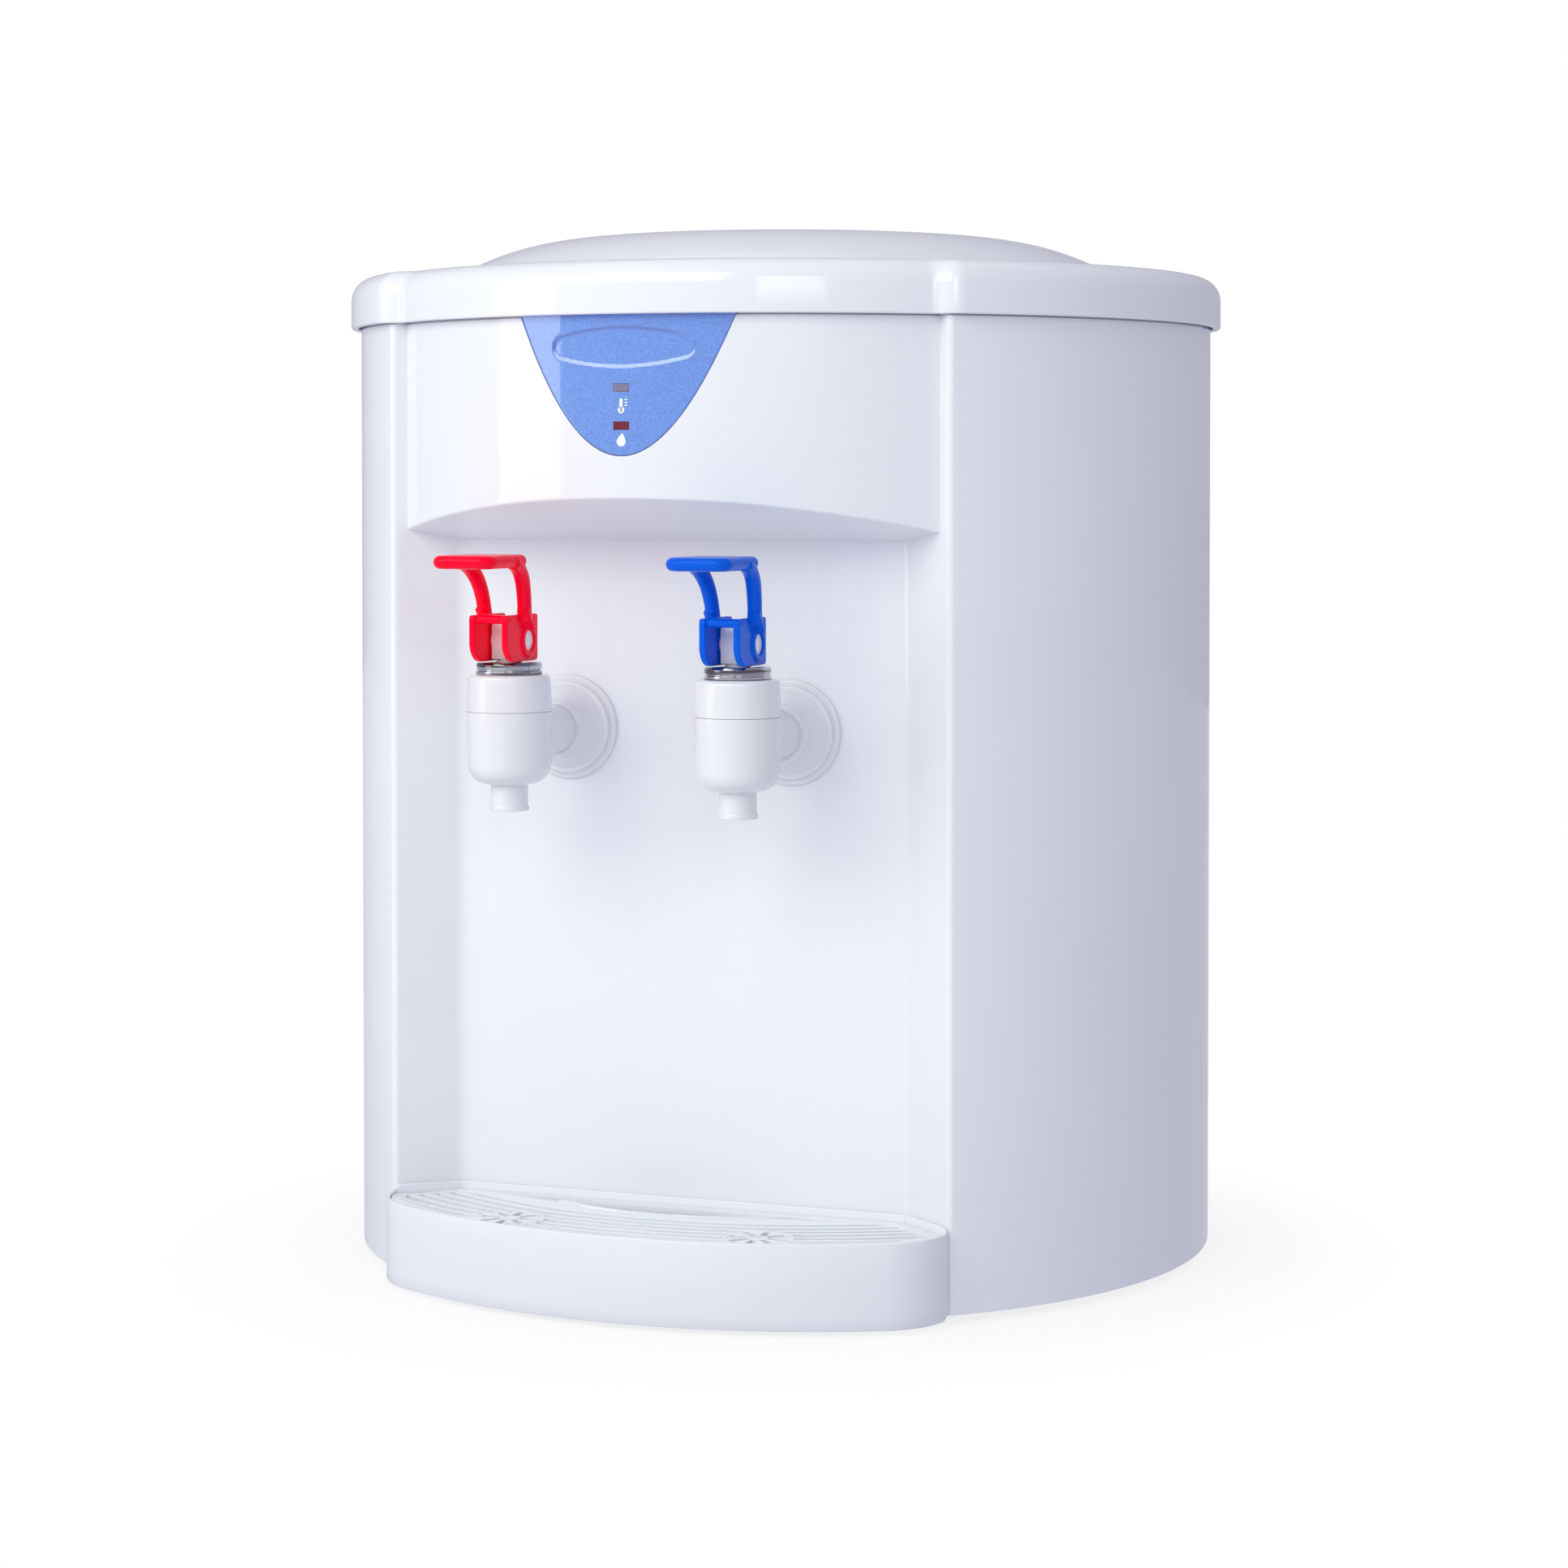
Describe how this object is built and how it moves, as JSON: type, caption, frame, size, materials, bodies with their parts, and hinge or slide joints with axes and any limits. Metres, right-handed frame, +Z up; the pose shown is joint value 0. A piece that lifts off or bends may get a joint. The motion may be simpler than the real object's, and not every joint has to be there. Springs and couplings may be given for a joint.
{
  "type": "countertop water dispenser",
  "caption": "Countertop water dispenser: drum body with a bottle collar on top, hot and cold push taps in a front niche, and a slotted drip tray.",
  "frame": {"origin": "on the counter, under the middle of the overall box, tap levers and drip tray included", "axes": "+Z up, the taps face -Y, +X to the right of somebody who faces the taps' back (towards +Y)"},
  "size_m": [0.307, 0.3396, 0.3543],
  "materials": {
    "white_shell": "glossy moulded white ABS",
    "white_tap": "glossy moulded white acetal",
    "clear_white": "milky translucent polypropylene",
    "red_lever": "satin red plastic",
    "blue_lever": "satin blue plastic",
    "bright_metal": "bright pressed metal",
    "silicone": "translucent silicone rubber",
    "grey_plastic": "plain moulded plastic",
    "steel": "stainless steel sheet and wire",
    "black_plastic": "fine grained black plastic",
    "red_rocker": "glossy red plastic",
    "white_fitting": "plain white plastic",
    "foot_rubber": "black rubber",
    "badge_blue": "blue film with a fine sparkle under clear gloss",
    "lilac_window": "tinted clear plastic",
    "red_window": "tinted clear plastic",
    "circuit_board": "coated circuit board",
    "insulation": "felted mineral fibre"
  },
  "bodies": {
    "housing": {"badge_plate": "badge_blue", "band_heater": "steel", "base_plate": "grey_plastic", "base_screws": "steel", "cold_tap_body": "white_tap", "cold_tap_cap": "white_tap", "cold_tap_collar": "bright_metal", "cold_tap_hose": "silicone", "cold_tap_nut": "grey_plastic", "cold_tap_spring": "steel", "cold_tap_wall_plate": "white_tap", "cold_tap_washer": "silicone", "cord_gland": "black_plastic", "drain_fitting": "white_fitting", "drain_hose": "silicone", "front_casing": "white_shell", "heating_thermostat": "steel", "heating_window": "red_window", "hose_clamps": "steel", "hot_tank": "steel", "hot_tap_body": "white_tap", "hot_tap_cap": "white_tap", "hot_tap_collar": "bright_metal", "hot_tap_hose": "silicone", "hot_tap_nut": "grey_plastic", "hot_tap_spring": "steel", "hot_tap_wall_plate": "white_tap", "hot_tap_washer": "silicone", "keep_warm_thermostat": "steel", "keep_warm_window": "lilac_window", "lamp_board": "circuit_board", "rear_casing": "white_shell", "reservoir": "clear_white", "reservoir_seal": "silicone", "reservoir_shelf": "grey_plastic", "rubber_feet": "foot_rubber", "switch_frame": "black_plastic", "tank_feed_hose": "silicone", "tank_insulation": "insulation", "tank_stand": "steel", "terminal_block": "grey_plastic", "top_cover": "white_shell", "vent_hose": "silicone"},
    "hot_stem": {"hot_tap_stem": "clear_white", "hot_tap_valve": "silicone"},
    "cold_stem": {"cold_tap_stem": "clear_white", "cold_tap_valve": "silicone"},
    "hot_lever": {"hot_tap_lever": "red_lever"},
    "cold_lever": {"cold_tap_lever": "blue_lever"},
    "tray": {"drip_tray": "white_shell"},
    "grille": {"drip_grille": "white_shell"},
    "rocker": {"power_rocker": "red_rocker"},
    "outlet_cap": {"drain_cap": "black_plastic"}
  },
  "joints": [
    {"name": "hot_lever_tilt", "type": "hinge", "parent": "hot_stem", "child": "hot_lever", "pos_m": [-0.0397, -0.12976, 0.2181], "axis": [1, 0, 0], "range_deg": [0, 30], "stiffness_Nm_per_rad": 0.05, "springref_deg": -11.46},
    {"name": "hot_stem_lift", "type": "slide", "parent": "housing", "child": "hot_stem", "axis": [0, 0, 1], "range_m": [0, 0.0042], "deforming": ["hot_tap_spring"]},
    {"name": "cold_lever_tilt", "type": "hinge", "parent": "cold_stem", "child": "cold_lever", "pos_m": [0.0397, -0.12976, 0.2181], "axis": [1, 0, 0], "range_deg": [0, 30], "stiffness_Nm_per_rad": 0.05, "springref_deg": -11.46},
    {"name": "cold_stem_lift", "type": "slide", "parent": "housing", "child": "cold_stem", "axis": [0, 0, 1], "range_m": [0, 0.0042], "deforming": ["cold_tap_spring"]},
    {"name": "tray_slide", "type": "slide", "parent": "housing", "child": "tray", "axis": [0, -1, 0], "range_m": [0, 0.06]},
    {"name": "grille_lift", "type": "slide", "parent": "tray", "child": "grille", "axis": [0, 0, 1], "range_m": [0, 0.03]},
    {"name": "rocker_tilt", "type": "hinge", "parent": "housing", "child": "rocker", "pos_m": [0.036, 0.15326, 0.081], "axis": [1, 0, 0], "range_deg": [0, 18]},
    {"name": "drain_cap_pull", "type": "slide", "parent": "housing", "child": "outlet_cap", "axis": [0, 1, 0], "range_m": [0, 0.02]}
  ],
  "couplings": [
    {"joint": "hot_stem_lift", "follows": "hot_lever_tilt", "m_per_rad": 0.008},
    {"joint": "cold_stem_lift", "follows": "cold_lever_tilt", "m_per_rad": 0.008}
  ]
}
